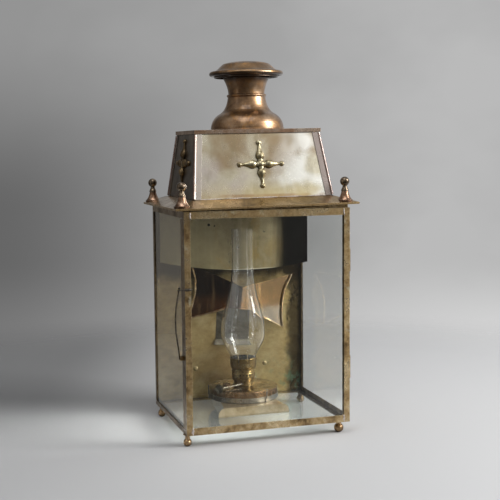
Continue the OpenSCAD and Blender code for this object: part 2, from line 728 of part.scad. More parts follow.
// Oil font: a flat hollow drum with a domed top
font_z = stand_top + 1.2;
font_top = stand_top + 20.5;
font_h = font_top - font_z;
filler_at = [-32, -5];
filler_r = 4.5;
module font_shell()
    rotate_extrude($fn = 96) difference() {
        polygon(concat(
            [[0, 0], [font_r - 1.5, 0], [font_r, 1.5], [font_r, font_h - 3]],
            [[font_r + 0.7, font_h - 2.2], [font_r + 0.4, font_h - 1], [font_r - 2, font_h - 0.4],
                [font_r - 9, font_h]],
            [[20, font_h + 0.5], [0, font_h + 0.5]]
        ));
        polygon([[0, 0.9], [font_r - 2, 0.9], [font_r - 0.9, 2], [font_r - 0.9, font_h - 1.8],
            [0, font_h - 0.6]]);
    }
module oil_font() color("peru")
    at_lamp(font_z) difference() {
        union() {
            font_shell();
            translate([filler_at.x, filler_at.y, font_h - 0.6])
                cylinder(h = 2.6, r = filler_r + 1.4, $fn = 32);
        }
        translate([0, 0, font_h - 3]) cylinder(h = 6, r = 14.9);
        translate([filler_at.x, filler_at.y, font_h - 3]) cylinder(h = 8, r = filler_r, $fn = 32);
    }

// Small screw cap with a milled edge and a plug that enters the filler
module filler_cap() color("goldenrod")
    at_lamp(font_z + font_h) translate([filler_at.x, filler_at.y, 2.05]) union() {
        difference() {
            rotate_extrude($fn = 48) polygon(concat(
                [[0, 0], [6.6, 0], [6.6, 3]], curve([6.2, 3.6], [4.6, 4.4], [2, 4.8], [0, 4.8], 4)
            ));
            for (i = [0:15]) rotate([0, 0, i * 22.5]) translate([7, 0, -1])
                cylinder(h = 4.2, r = 0.8, $fn = 12);
        }
        translate([0, 0, -3]) cylinder(h = 3.1, r = filler_r - 0.06, $fn = 32);
    }

burner_z = font_top + 0.5;
module burner_collar() color("goldenrod")
    at_lamp(burner_z) rotate_extrude() polygon([
        [13.6, -2.4], [14.8, -2.4], [14.8, 0], [19, 0], [19, 1], [17.6, 1.6], [13.6, 1.6]
    ]);

// Burner body: threaded skirt, flared ring and a pierced drum
shaft_turn = 208;
shaft_off = 9.2;
shaft_z = 3.6;
shaft_r = 1.25;
skirt_z = 1.7;
module along_shaft(z) rotate([0, 0, shaft_turn]) translate([0, shaft_off, z])
    rotate([0, 90, 0]) children();
burner_line = concat(
    [for (i = [0:2]) each [[17.3, skirt_z + i * 2.1], [16.6, skirt_z + 0.7 + i * 2.1],
        [16.6, skirt_z + 1.4 + i * 2.1]]],
    [[17.3, 8.3], [19.8, 9.3], [20.2, 10.6], [18.9, 11.2], [19.6, 13], [19.9, 15.4], [19.9, 21.5],
        [19.4, 23]],
    curve([19.6, 23.4], [21.2, 23.8], [21.2, 25.8], [19.4, 26.2], 3),
    [[19.6, 28], [18.6, 28], [18.2, 11.6], [16, 9], [15.6, 8], [15.6, skirt_z]]
);
module burner_body() color("goldenrod")
    at_lamp(burner_z) difference() {
        rotate_extrude() polygon(burner_line);
        for (i = [0:pierced_count - 1])
            rotate([0, 0, (i + 0.5) * 360 / pierced_count]) translate([12, 0, 18.6]) rotate([0, 90, 0])
                cylinder(h = 12, r = 1.35, $fn = 20);
        for (i = [0:pierced_count - 1])
            rotate([0, 0, i * 360 / pierced_count]) translate([12, 0, 14.4]) rotate([0, 90, 0])
                cylinder(h = 12, r = 0.7, $fn = 16);
        along_shaft(shaft_z) cylinder(h = 40, r = shaft_r + pin_gap, $fn = 24);
    }

// Gallery: a sprung crown whose slotted prongs grip the foot of the glass
gallery_z = 28.2;
gallery_h = 19.5;
module gallery() color("goldenrod")
    at_lamp(burner_z + gallery_z) difference() {
        rotate_extrude() polygon(concat(
            [[18, 0], [19.8, 0]],
            curve([21, 1], [22.8, 3], [gallery_r, 6], [gallery_r - 0.2, gallery_h - 3], 5),
            [[gallery_r + 0.7, gallery_h - 0.8], [gallery_r + 0.3, gallery_h],
                [gallery_r - 0.5, gallery_h]],
            [[gallery_r - 1, gallery_h - 3], [gallery_r - 0.9, 6.4], [20.6, 2.4], [19.5, 1], [18, 1]]
        ));
        for (i = [0:prong_count - 1])
            rotate([0, 0, i * 360 / prong_count + 8]) translate([16, -0.8, 7.2])
                cube([12, 1.6, gallery_h]);
    }

// Inner tube that carries the round wick, on a plate across the burner
wick_r = 7;
tube_z0 = 1.7;
tube_z1 = 44;
module wick_tube() color("darkgoldenrod")
    at_lamp(burner_z) difference() {
        rotate_extrude() polygon([
            [wick_r + 0.2, tube_z0], [wick_r + 1, tube_z0], [wick_r + 1, 27], [18.58, 27],
                [18.6, 27.8], [wick_r + 1, 27.8],
            [wick_r + 1, tube_z1 - 3], [wick_r + 0.9, tube_z1], [wick_r + 0.2, tube_z1]
        ]);
        for (i = [0:9])
            rotate([0, 0, i * 36]) translate([13, 0, 26]) cylinder(h = 4, r = 1.8, $fn = 20);
        along_shaft(shaft_z) translate([0, 0, -6]) cylinder(h = 12, r = 4.4, $fn = 24);
    }

// The round wick, a woven cotton tube
module wick() color("ivory")
    at_lamp(burner_z) difference() {
        translate([0, 0, -13]) cylinder(h = 13 + tube_z1 - 1.5, r = wick_r - 0.1);
        translate([0, 0, -14]) cylinder(h = 60 + tube_z1, r = wick_r - 2.3);
    }

// Winder: a thin shaft with two toothed wheels that press on the wick
knob_dist = 66.5;
module winder_shaft() color("gray")
    at_lamp(burner_z) along_shaft(shaft_z) union() {
        translate([0, 0, -5]) cylinder(h = knob_dist + 5, r = shaft_r, $fn = 24);
        for (s = [-3.2, 1.6])
            translate([0, 0, s]) difference() {
                cylinder(h = 1.6, r = 2.05, $fn = 24);
                for (i = [0:7]) rotate([0, 0, i * 45]) translate([2.2, 0, -1])
                    cylinder(h = 4, r = 0.35, $fn = 12);
            }
    }
module winder_knob() color("darkgoldenrod")
    at_lamp(burner_z) along_shaft(shaft_z) translate([0, 0, knob_dist - 3]) difference() {
        rotate_extrude($fn = 64) polygon([
            [shaft_r, 0], [2.6, 0], [3, 1.6], [7, 2], [8, 2.8], [8, 4.8], [7.4, 5.6], [5.4, 5.2],
                [4.4, 5.8], [0, 6.2],
            [0, 3.1], [shaft_r, 3.1]
        ]);
        for (i = [0:23]) rotate([0, 0, i * 15]) translate([8.2, 0, 2]) cylinder(h = 5, r = 0.5, $fn = 12);
    }

// Blown glass chimney: a straight foot, a full bulge and a long tube
glass_z = gallery_z + 5.4;
glass_t = 1.4;
glass_line = concat(
    [[gallery_r - 1.4, 0], [gallery_r - 1.4, 6]],
    curve([gallery_r - 1.4, 12], [gallery_r - 1, 26], [bulge_r, 36], [bulge_r, 57], 9),
    curve([bulge_r, 62], [bulge_r, 92], [tube_r + 2, 118], [tube_r + 0.6, 170], 11),
    [[tube_r, 184], [tube_r + 0.3, chimney_h]]
);
module chimney_glass() color("lightcyan", 0.3)
    at_lamp(burner_z + glass_z) rotate_extrude($fn = 96)
        polygon(concat(glass_line, reversed(shifted(glass_line, [-glass_t, 0]))));

base_frame();
feet();
post_front_left();
post_front_right();
post_back_left();
post_back_right();
top_frame();
floor_glass();
left_glass();
right_glass();
glass_channels();
back_plate();
back_sill();
back_rivets();
heat_shield();
reflector();
reflector_tab();
eaves_soffit();
eaves_plate();
finial_cones();
finial_knobs();
roof_front();
roof_left();
roof_right();
roof_back();
hip_strips();
cross_front();
cross_left();
cross_right();
crown_plate();
cowl_bell();
cowl_neck();
cowl_cap();
cap_collar();
cap_straps();
lamp_stand();
font_tray();
font_clips();
hinge_plates();
hinge_pins();
catch_staple();
door_frame();
door_glass();
door_tabs();
door_hinges();
door_keeper();
catch_wire();
oil_font();
burner_collar();
burner_body();
gallery();
wick_tube();
winder_shaft();
winder_knob();
wick();
chimney_glass();
filler_cap();
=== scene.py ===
import math

import bpy
from mathutils import Matrix, Vector, noise


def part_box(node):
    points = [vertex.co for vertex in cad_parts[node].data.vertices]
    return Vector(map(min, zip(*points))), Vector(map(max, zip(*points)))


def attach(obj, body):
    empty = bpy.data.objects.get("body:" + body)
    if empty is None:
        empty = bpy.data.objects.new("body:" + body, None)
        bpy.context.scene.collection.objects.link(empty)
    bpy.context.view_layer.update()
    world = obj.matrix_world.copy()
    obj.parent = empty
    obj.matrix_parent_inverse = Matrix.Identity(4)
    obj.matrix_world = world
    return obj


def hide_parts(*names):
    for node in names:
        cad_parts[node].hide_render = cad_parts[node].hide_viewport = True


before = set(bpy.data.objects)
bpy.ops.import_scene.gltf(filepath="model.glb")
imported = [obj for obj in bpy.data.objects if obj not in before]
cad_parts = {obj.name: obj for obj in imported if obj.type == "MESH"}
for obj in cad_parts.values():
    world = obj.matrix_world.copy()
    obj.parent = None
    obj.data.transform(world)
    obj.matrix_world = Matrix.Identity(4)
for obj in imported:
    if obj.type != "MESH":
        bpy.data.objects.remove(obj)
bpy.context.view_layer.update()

# ---- Base, corner posts and top frame ----
# Strips of rolled brass folded to an angle, mitred at the corners and soft soldered. They are left
# unlacquered, so they have gone brown, with ochre patches where hands and cloths reach.


class Layer:
    """One output of a finish's nodes. Arithmetic on it adds Math nodes, and put() adds any other node."""

    def __init__(self, tree, output=None):
        self.tree = tree
        self.output = output

    def put(self, kind, settings=(), sockets=(), out=0):
        node = self.tree.nodes.new("ShaderNode" + kind)
        for name, value in dict(settings).items():
            if name == "stops":
                ramp = node.color_ramp
                ramp.elements[0].position = value[0][0]
                ramp.elements[-1].position = value[-1][0]
                for place, _ in value[1:-1]:
                    ramp.elements.new(place)
                for element, (_, colour) in zip(ramp.elements, value):
                    element.color = (*colour, 1)
            else:
                setattr(node, name, value)
        for name, value in dict(sockets).items():
            if isinstance(value, Layer):
                self.tree.links.new(value.output, node.inputs[name])
            elif isinstance(value, tuple) and node.inputs[name].type == "RGBA":
                node.inputs[name].default_value = (*value, 1)
            else:
                node.inputs[name].default_value = value
        return Layer(self.tree, node.outputs[out] if len(node.outputs) else None)

    def maths(self, operation, first, second):
        return self.put("Math", {"operation": operation}, {0: first, 1: second})

    def __add__(self, other):
        return self.maths("ADD", self, other)

    def __sub__(self, other):
        return self.maths("SUBTRACT", self, other)

    def __rsub__(self, other):
        return self.maths("SUBTRACT", other, self)

    def __mul__(self, other):
        return self.maths("MULTIPLY", self, other)

    def __pow__(self, other):
        return self.maths("POWER", self, other)

    __radd__ = __add__
    __rmul__ = __mul__


def shade(red, green, blue):
    """A colour read as 0 to 255, as the light that it sends back."""
    return tuple(((c / 255 + 0.055) / 1.055) ** 2.4 if c > 10 else c / 3294 for c in (red, green, blue))


def new_finish(name):
    material = bpy.data.materials.new(name)
    material.use_nodes = True
    material.node_tree.nodes.clear()
    return material, Layer(material.node_tree)


def place_in(start, stretch=(1, 1, 1)):
    place = start.put("TexCoord", out=3)
    return start.put("VectorMath", {"operation": "MULTIPLY"}, {0: place, 1: stretch})


def mottle(place, scale, detail=5.0, roughness=0.6, distortion=0.0):
    sockets = {"Vector": place, "Scale": scale, "Detail": detail, "Roughness": roughness, "Distortion": distortion}
    return place.put("TexNoise", {}, sockets)


def fade(layer, low, high):
    sockets = {"Value": layer, "From Min": low, "From Max": high}
    return layer.put("MapRange", {"interpolation_type": "SMOOTHSTEP"}, sockets)


def laid_over(mask, under, over, how="MIX"):
    """Colour over covers colour under where the mask is 1."""
    return mask.put("Mix", {"data_type": "RGBA", "blend_type": how}, {0: mask, 6: under, 7: over}, out=2)


def axis_of(place, axis):
    return place.put("SeparateXYZ", {}, {0: place}, out="XYZ".index(axis))


def worn_edge_and_highlight(start, width):
    """1 along sharp outer edges, where the finish is rubbed bright and a highlight is painted, and 0 on the flats."""
    rounded = start.put("Bevel", {"samples": 4}, {"Radius": width})
    flat = start.put("NewGeometry", out=1)
    facing = start.put("VectorMath", {"operation": "DOT_PRODUCT"}, {0: rounded, 1: flat}, out=1)
    return fade(1 - facing, 0.02, 0.22)


def crevice_dirt_and_shade(start, reach):
    """1 in corners and under laps, where dirt stays and shade is painted, and 0 in the open."""
    return fade(start.put("AmbientOcclusion", {"samples": 4}, {"Distance": reach}, out=1), 0.8, 0.35)


def metal(name, colours, cloud=12, speck=90, rough=(0.28, 0.5), dents=(12, 0.0003), grain=(1, 1, 1),
          edge_wear_and_highlight=0.6, dirt_and_shade=0.7, stains=None, coat=(0.25, 0.2), edge=0.0009, nook=0.008):
    """Aged sheet metal. colours run from the dark patina through the middle tone to the bright metal."""
    material, start = new_finish(name)
    place = place_in(start)
    grained = place_in(start, grain)
    clouds = mottle(place, cloud, 4, 0.6, 0.6)
    specks = mottle(grained, speck, 6, 0.7)
    tone = clouds * 0.62 + specks * 0.38
    pits = fade(mottle(place, 620, 2), 0.63, 0.72)
    dark, middle, bright = colours
    colour = start.put("ValToRGB", {"stops": [(0.36, dark), (0.5, middle), (0.64, bright)]}, {0: tone})
    colour = laid_over(pits * 0.55, colour, dark)
    # Sharp edges are lightened: partly wear where the finish is rubbed bright, partly a painted highlight.
    wear_and_highlight_mask = worn_edge_and_highlight(start, edge) * fade(mottle(place, 60), 0.35, 0.6) * edge_wear_and_highlight
    lighter = tuple(min(1, 1.35 * c + 0.05) for c in bright)
    colour = laid_over(wear_and_highlight_mask, colour, lighter)
    # Corners, laps and undersides are darkened from ambient occlusion: partly dirt, partly painted shade.
    dirt_and_shade_mask = crevice_dirt_and_shade(start, nook) * dirt_and_shade
    colour = laid_over(dirt_and_shade_mask, colour, tuple(0.3 * c for c in dark))
    roughness = fade(tone, 0.62, 0.36) * (rough[1] - rough[0]) + rough[0] + pits * 0.12 + dirt_and_shade_mask * 0.2
    if stains:
        colour, roughness = stains(place, colour, roughness)
    dent_size, dent_depth = dents
    height = mottle(place, dent_size, 2, 0.4) * dent_depth + specks * 0.000015 - pits * 0.00001
    rounded = start.put("Bevel", {"samples": 4}, {"Radius": 0.0004})
    normal = start.put("Bump", {}, {"Strength": 1.0, "Distance": 1.0, "Height": height, "Normal": rounded})
    surface = start.put("BsdfPrincipled", {}, {
        "Base Color": colour, "Metallic": 1.0, "Roughness": roughness, "Normal": normal,
        "Coat Weight": coat[0], "Coat Roughness": coat[1]})
    start.put("OutputMaterial", {}, {"Surface": surface})
    return material


def dress(material, *nodes):
    for node in nodes:
        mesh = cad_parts[node].data
        mesh.materials.clear()
        mesh.materials.append(material)


def hand_marks_and_left_shade(place, colour, roughness):
    """Pale spots of flux and polish left near the joints, brown ones where the brass was held, and painted shade on the
    faces turned to the left.
    """
    pale = fade(mottle(place, 48, 5, 0.65, 0.4), 0.58, 0.7)
    brown = fade(mottle(place, 21, 4, 0.6, 0.4), 0.56, 0.68)
    colour = laid_over(brown * 0.6, colour, shade(96, 72, 46))
    colour = laid_over(pale * 0.5, colour, shade(204, 200, 176))
    # Faces turned to the left are painted darker as shade.
    painted_left_shade_face = fade(axis_of(place.put("TexCoord", out=1), "X"), -0.85, -0.95)
    return laid_over(painted_left_shade_face * 0.6, colour, shade(84, 62, 42)), roughness + pale * 0.08


frame_brass = metal("frame_brass", [shade(88, 68, 44), shade(172, 146, 104), shade(222, 200, 160)],
                    cloud=26, speck=120, rough=(0.26, 0.46), edge_wear_and_highlight=0.9, dirt_and_shade=0.7, stains=hand_marks_and_left_shade)
dress(frame_brass, "base_frame", "post_front_left", "post_front_right", "top_frame")

tin_lead = metal("tin_lead_solder", [shade(150, 136, 128), shade(208, 196, 188), shade(240, 232, 226)],
                 cloud=90, speck=320, rough=(0.22, 0.4), dents=(120, 0.0001), edge_wear_and_highlight=0.2, dirt_and_shade=0.4)


def point_mesh(name, points, faces, material):
    mesh = bpy.data.meshes.new(name)
    mesh.from_pydata([tuple(p) for p in points], [], faces)
    mesh.validate()
    mesh.materials.append(material)
    made = bpy.data.objects.new(name, mesh)
    bpy.context.scene.collection.objects.link(made)
    return made


def solder_run(name, body, start, end, facing, width, height, seed):
    """A run of solder along a joint: half round, thinner at its ends, and uneven as a hand iron leaves it."""
    start, end, facing = Vector(start), Vector(end), Vector(facing)
    along = (end - start).normalized()
    aside = along.cross(facing)
    points, faces = [], []
    steps, arc = 22, 8
    for i in range(steps + 1):
        t = i / steps
        uneven = 1 + 0.45 * noise.noise(Vector((6 * t, seed, 0.3)))
        full = math.sin(math.pi * min(max(t, 0.02), 0.98)) ** 0.5 * uneven
        drift = 0.3 * width * noise.noise(Vector((4 * t, 0.7, seed)))
        for j in range(arc + 1):
            a = math.pi * j / arc
            off = aside * (width / 2 * full * math.cos(a) + drift) + facing * (height * full * math.sin(a) - 0.00005)
            points.append(start.lerp(end, t) + off)
    ring = arc + 1
    for i in range(steps):
        for j in range(arc):
            k = i * ring + j
            faces.append([k, k + 1, k + ring + 1, k + ring])
        faces.append([i * ring + arc, i * ring, (i + 1) * ring, (i + 1) * ring + arc])
    faces.append(list(range(ring))[::-1])
    faces.append([steps * ring + j for j in range(ring)])
    run = point_mesh(name, points, faces, tin_lead)
    run.data.polygons.foreach_set("use_smooth", [len(f.vertices) == 4 for f in run.data.polygons])
    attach(run, body)
    return run


base_low, base_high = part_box("base_frame")
post_low, post_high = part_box("post_front_left")
for side, outer in (("left", base_low.x), ("right", base_high.x)):
    out = Vector((math.copysign(1, outer), 0, 0))
    for end, level in (("foot", post_low.z), ("head", post_high.z)):
        solder_run(f"solder_front_{side}_{end}", "case", (outer, post_low.y + 0.001, level),
                   (outer, post_high.y, level), out, 0.0026, 0.0006, len(end) + outer)
        solder_run(f"solder_back_{side}_{end}", "case", (outer, base_high.y - 0.001, level),
                   (outer, base_high.y - 0.009, level), out, 0.0028, 0.0006, len(side) + level)

# ---- Ball feet ----
# Four small turned brass balls, each screwed up into the base with its shank.
foot_brass = metal("foot_brass", [shade(96, 74, 52), shade(168, 138, 100), shade(212, 180, 140)],
                   cloud=60, speck=260, rough=(0.2, 0.36), dents=(60, 0.00002))
dress(foot_brass, "feet")

# ---- Floor glass, side panes and their channels ----
# Drawn window glass, a little green in its edge and not quite flat. The panes stand in folded
# brass channels and were cut by hand.


def clear_glass(name, tint, waves=(5, 0.00005), stretch=(1, 1, 1), haze=0.004):
    """Glass that shows what stands behind it, not quite flat, with a faint film of dust and smears."""
    material, start = new_finish(name)
    place = place_in(start)
    wave_size, wave_depth = waves
    height = mottle(place_in(start, stretch), wave_size, 1, 0.4) * wave_depth
    normal = start.put("Bump", {}, {"Strength": 1.0, "Distance": 1.0, "Height": height})
    body = start.put("BsdfPrincipled", {}, {
        "Base Color": tint, "Roughness": 0.0, "IOR": 1.5, "Transmission Weight": 1.0, "Normal": normal})
    film = start.put("BsdfPrincipled", {}, {"Base Color": shade(206, 204, 196), "Roughness": 0.8})
    smear = fade(mottle(place, 14, 5, 0.7, 1.2), 0.4, 0.8)
    dusty = start.put("MixShader", {}, {0: smear * haze + 0.3 * haze, 1: body, 2: film})
    open_air = start.put("BsdfTransparent", {}, {"Color": tuple(0.5 + 0.5 * c for c in tint)})
    shadow_ray = start.put("LightPath", out=1)
    surface = start.put("MixShader", {}, {0: shadow_ray, 1: dusty, 2: open_air})
    start.put("OutputMaterial", {}, {"Surface": surface})
    return material


window_glass = clear_glass("window_glass", (0.985, 0.995, 0.985))
floor_glass = clear_glass("floor_glass", (0.93, 0.975, 0.955), haze=0.05)
dress(window_glass, "left_glass", "right_glass")
dress(floor_glass, "floor_glass")
# The channels and back posts are painted darker than the front frame, as painted shade at the back corners.
shaded_channel_brass = metal("shaded_channel_brass", [shade(62, 50, 38), shade(108, 90, 64), shade(150, 128, 92)],
                      cloud=30, speck=140, rough=(0.34, 0.55))
dress(shaded_channel_brass, "glass_channels", "post_back_left", "post_back_right")

# ---- Back plate, sill and rivets ----
# One sheet of brass closes the back. Years of lamp heat have left it golden olive, with black smudges near the edges
# and a little green where damp sat in the corners. Its right edge is darkened with soot and painted shade, and a band
# under the heat shield is painted shadow.


shield_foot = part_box("heat_shield")[0].z


def soot_and_painted_shade(place, soot_and_shade, height, across):
    """Soot and painted shade darken the right edge, and a painted shadow darkens a band under the shield."""
    ragged = mottle(place, 40, 5, 0.6) * 0.03
    edge = fade(across + ragged, 0.114, 0.132)
    painted_shadow_band = fade(height + ragged, shield_foot - 0.02, shield_foot + 0.012)
    inside = fade(axis_of(place.put("TexCoord", out=1), "Y"), 0.2, -0.5)
    both = (soot_and_shade + edge * 0.9 + painted_shadow_band) * inside
    return both.put("Math", {"operation": "MINIMUM"}, {0: both, 1: 1.0})


def back_stains_and_shade(place, colour, roughness):
    height = axis_of(place, "Z")
    across = axis_of(place, "X")
    soot_and_shade = fade(mottle(place, 22, 6, 0.7, 1.5), 0.56, 0.72) * fade(across, 0.05, 0.13)
    soot_and_shade = soot_and_painted_shade(place, soot_and_shade, height, across)
    damp = fade(mottle(place, 70, 5, 0.7), 0.5, 0.64) * fade(height, 0.12, 0.03) * fade(across, -0.02, 0.1)
    # Soot clouds, the right edge and the band under the shield go near black: soot and painted shade.
    colour = laid_over(soot_and_shade * 0.95, colour, shade(13, 10, 8))
    colour = laid_over(damp * 0.6, colour, shade(96, 128, 104))
    return colour, roughness + soot_and_shade * 0.15 + damp * 0.2


plate_brass = metal("plate_brass", [shade(122, 102, 62), shade(170, 148, 100), shade(204, 184, 138)],
                    cloud=11, speck=46, rough=(0.32, 0.5), dents=(9, 0.0009), grain=(1, 1, 1.6),
                    stains=back_stains_and_shade, coat=(0.0, 0.2))
rivet_brass = metal("rivet_brass", [shade(96, 84, 56), shade(150, 134, 96), shade(190, 174, 134)],
                    cloud=60, speck=200, rough=(0.45, 0.6), dents=(60, 0.00005), dirt_and_shade=1.0)
dress(plate_brass, "back_plate", "back_sill")
dress(rivet_brass, "back_rivets")

# ---- Heat shield ----
# A bowed sheet hung high behind the lamp glass. Its front is olive from the heat, with upright streaks where it was
# wiped. Its left part carries a painted sheen, its right end is painted near black as shade, and its lower edge carries
# a painted highlight.


def wiped_streaks_and_painted_light(place, colour, roughness):
    streak = mottle(place.put("VectorMath", {"operation": "MULTIPLY"}, {0: place, 1: (1, 1, 0.08)}), 60, 4, 0.6)
    across = axis_of(place, "X")
    colour = laid_over(fade(streak, 0.42, 0.6) * 0.35, colour, shade(176, 164, 132))
    # The left part is painted lighter: a painted sheen on the bowed sheet.
    colour = laid_over(fade(across, 0.02, -0.09) * 0.5, colour, shade(186, 176, 138))
    golden = fade(mottle(place, 15, 5, 0.6, 1.0), 0.52, 0.66)
    colour = laid_over(golden * 0.6, colour, shade(158, 132, 78))
    # The right end goes near black: painted shade.
    shaded_right_end = fade(across + streak * 0.03, 0.066, 0.108)
    colour = laid_over(shaded_right_end, colour, shade(6, 6, 5))
    # A pale line along the lower edge is a painted highlight.
    lip_highlight = fade(axis_of(place, "Z"), shield_foot + 0.0022, shield_foot + 0.0014)
    colour = laid_over(lip_highlight * 0.9, colour, shade(226, 216, 190))
    return colour, roughness - fade(streak, 0.45, 0.62) * 0.08 + shaded_right_end * 0.25


shield_brass = metal("shield_brass", [shade(104, 92, 62), shade(146, 132, 96), shade(178, 164, 128)],
                     cloud=13, speck=60, rough=(0.34, 0.5), dents=(11, 0.0007), stains=wiped_streaks_and_painted_light,
                     coat=(0.0, 0.2))
dress(shield_brass, "heat_shield")

# ---- Reflector and its tab ----
# Bent from bright copper sheet in the shape of a bow, with folded rims. The heat has coloured it from orange to brown.
# Its top is painted dark as the shadow of the heat shield, the left wing is painted darker as shade, the lower part of
# the right wing is painted pale as a reflection, and the rims carry a painted highlight.


def heat_colours_and_painted_light(place, colour, roughness):
    across, height = axis_of(place, "X"), axis_of(place, "Z")
    right_wing = fade(across, 0.005, 0.02)
    cloud = mottle(place, 16, 4, 0.55, 0.6) * 0.03
    shield_shadow = fade(height + cloud, 0.212, 0.238) * (1 - right_wing * 0.7)
    amber = fade(height + cloud, 0.225, 0.205) * fade(mottle(place, 20, 4, 0.55), 0.42, 0.6)
    painted_reflection_low = fade(height + cloud, 0.205, 0.188) * right_wing
    streak = mottle(place.put("VectorMath", {"operation": "MULTIPLY"}, {0: place, 1: (1, 1, 0.12)}), 90, 3, 0.5)
    colour = laid_over(amber * (1 - right_wing * 0.6) * 0.7, colour, shade(186, 128, 66))
    # The left wing is painted darker as shade.
    colour = laid_over(1 - right_wing, colour, shade(168, 140, 104), "MULTIPLY")
    # The tops of the wings go near black: a painted shadow of the heat shield.
    colour = laid_over(shield_shadow * 0.92, colour, shade(26, 19, 13))
    colour = laid_over(right_wing * 0.4, colour, shade(128, 112, 86))
    # The lower right wing is painted pale grey: a painted reflection.
    colour = laid_over(painted_reflection_low * 0.75, colour, shade(170, 162, 148))
    colour = laid_over(fade(streak, 0.52, 0.66) * 0.3, colour, shade(224, 190, 140))
    # Faces turned neither to the front nor to the back, the rims, are painted near white as a highlight.
    facing = axis_of(place.put("TexCoord", out=1), "Y")
    rim = fade(facing.put("Math", {"operation": "ABSOLUTE"}, {0: facing}), 0.62, 0.45)
    colour = laid_over(rim * 0.9, colour, shade(244, 226, 194))
    return colour, roughness


reflector_copper = metal("reflector_copper", [shade(96, 70, 44), shade(152, 116, 74), shade(204, 168, 118)],
                         cloud=9, speck=40, rough=(0.12, 0.24), dents=(9, 0.0012), edge_wear_and_highlight=1.0, edge=0.002,
                         stains=heat_colours_and_painted_light, coat=(0.0, 0.2))
dress(reflector_copper, "reflector")
tab_brass = metal("tab_brass", [shade(62, 56, 44), shade(98, 92, 78), shade(134, 126, 110)],
                  cloud=30, speck=110, rough=(0.3, 0.46), dents=(14, 0.0004))
dress(tab_brass, "reflector_tab")

# ---- Eaves ----
# A shallow hipped sheet with a folded lip, on a flat soffit that closes it from below.
eaves_brass = metal("eaves_brass", [shade(110, 88, 58), shade(172, 144, 100), shade(214, 184, 138)],
                    cloud=18, speck=110, rough=(0.24, 0.42), dents=(14, 0.0005), edge_wear_and_highlight=1.0, edge=0.0016,
                     coat=(0.5, 0.14))
dress(eaves_brass, "eaves_plate", "eaves_soffit")

# ---- Corner finials ----
# Spun copper cones with a flange, each under a turned brass knob on a screw.
cone_copper = metal("cone_copper", [shade(66, 46, 34), shade(120, 88, 64), shade(196, 164, 142)],
                    cloud=60, speck=220, rough=(0.26, 0.4), dents=(40, 0.00006), coat=(0.5, 0.12))
knob_brass = metal("knob_brass", [shade(46, 38, 30), shade(98, 82, 64), shade(160, 142, 116)],
                    cloud=70, speck=260, rough=(0.22, 0.36), dents=(60, 0.00003), coat=(0.6, 0.1))
dress(cone_copper, "finial_cones")
dress(knob_brass, "finial_knobs")

# ---- Roof panels ----
# Four brass sheets soldered along the hips. The front one has weathered to pale sage with brown clouds and carries
# painted white highlights on its right, and the side and back panels are painted much darker as shade.


roof_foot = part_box("roof_front")[0].z


def roof_clouds_and_highlight(place, colour, roughness):
    height = axis_of(place, "Z")
    across = axis_of(place, "X")
    upper = fade(height, 0.42, 0.47)
    brown = fade(mottle(place, 11, 4, 0.55, 0.3) + upper * 0.06, 0.48, 0.68)
    lilac = fade(mottle(place, 9, 3, 0.5, 0.3), 0.46, 0.6) * fade(height, 0.47, 0.42) * fade(across, 0.0, -0.05)
    drips = mottle(place.put("VectorMath", {"operation": "MULTIPLY"}, {0: place, 1: (1, 1, 0.2)}), 46, 5, 0.65)
    foot = fade(height, 0.42, 0.39)
    # Pale white clouds on the right of the panel are a painted highlight.
    painted_highlight_clouds = fade(mottle(place, 16, 2, 0.5, 0.2), 0.44, 0.6) * fade(across - upper * 0.02, -0.02, 0.07)
    colour = laid_over(brown * 0.75, colour, shade(130, 104, 68))
    colour = laid_over(lilac * 0.7, colour, shade(184, 174, 176))
    colour = laid_over(fade(drips, 0.52, 0.66) * 0.3, colour, shade(120, 110, 84))
    colour = laid_over(foot * 0.45, colour, shade(196, 176, 116))
    colour = laid_over(painted_highlight_clouds * 0.75, colour, shade(228, 228, 224))
    rubbed_line = fade(height, roof_foot + 0.009, roof_foot + 0.006) * fade(height, roof_foot + 0.002, roof_foot + 0.004)
    colour = laid_over(rubbed_line * fade(mottle(place, 30, 3), 0.35, 0.55) * 0.6, colour, shade(150, 112, 72))
    return colour, roughness


roof_brass = metal("roof_brass", [shade(142, 130, 106), shade(182, 174, 152), shade(208, 202, 184)],
                   cloud=8, speck=44, rough=(0.24, 0.36), dents=(8, 0.0016), edge_wear_and_highlight=0.8, stains=roof_clouds_and_highlight,
                   coat=(0.5, 0.16))
# The side and back panels are a darker copy of the roof brass: painted shade.
shaded_roof = metal("dark_roof_brass", [shade(38, 29, 22), shade(66, 51, 37), shade(104, 84, 62)],
                  cloud=12, speck=60, rough=(0.28, 0.44), dents=(8, 0.001), coat=(0.4, 0.15))
dress(roof_brass, "roof_front")
dress(shaded_roof, "roof_left", "roof_right", "roof_back")

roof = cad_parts["roof_front"]
roof_points = [roof.matrix_world @ v.co for v in roof.data.vertices]
roof_left_foot = min(roof_points, key=lambda v: v.x + v.z + v.y)
roof_right_foot = min(roof_points, key=lambda v: v.z + v.y - v.x)
for i in range(5):
    a, b = roof_left_foot.lerp(roof_right_foot, i / 5 + 0.004), roof_left_foot.lerp(roof_right_foot, (i + 1) / 5)
    lift = Vector((0, -0.0002, 0.0006))
    solder_run(f"solder_roof_foot_{i + 1}", "case", a + lift, b + lift, (0, -0.92, 0.39), 0.0018, 0.0005, 7 * i + 2)

# ---- Hip strips ----
# Folded copper cappings along the four hips, each with a rolled bead.


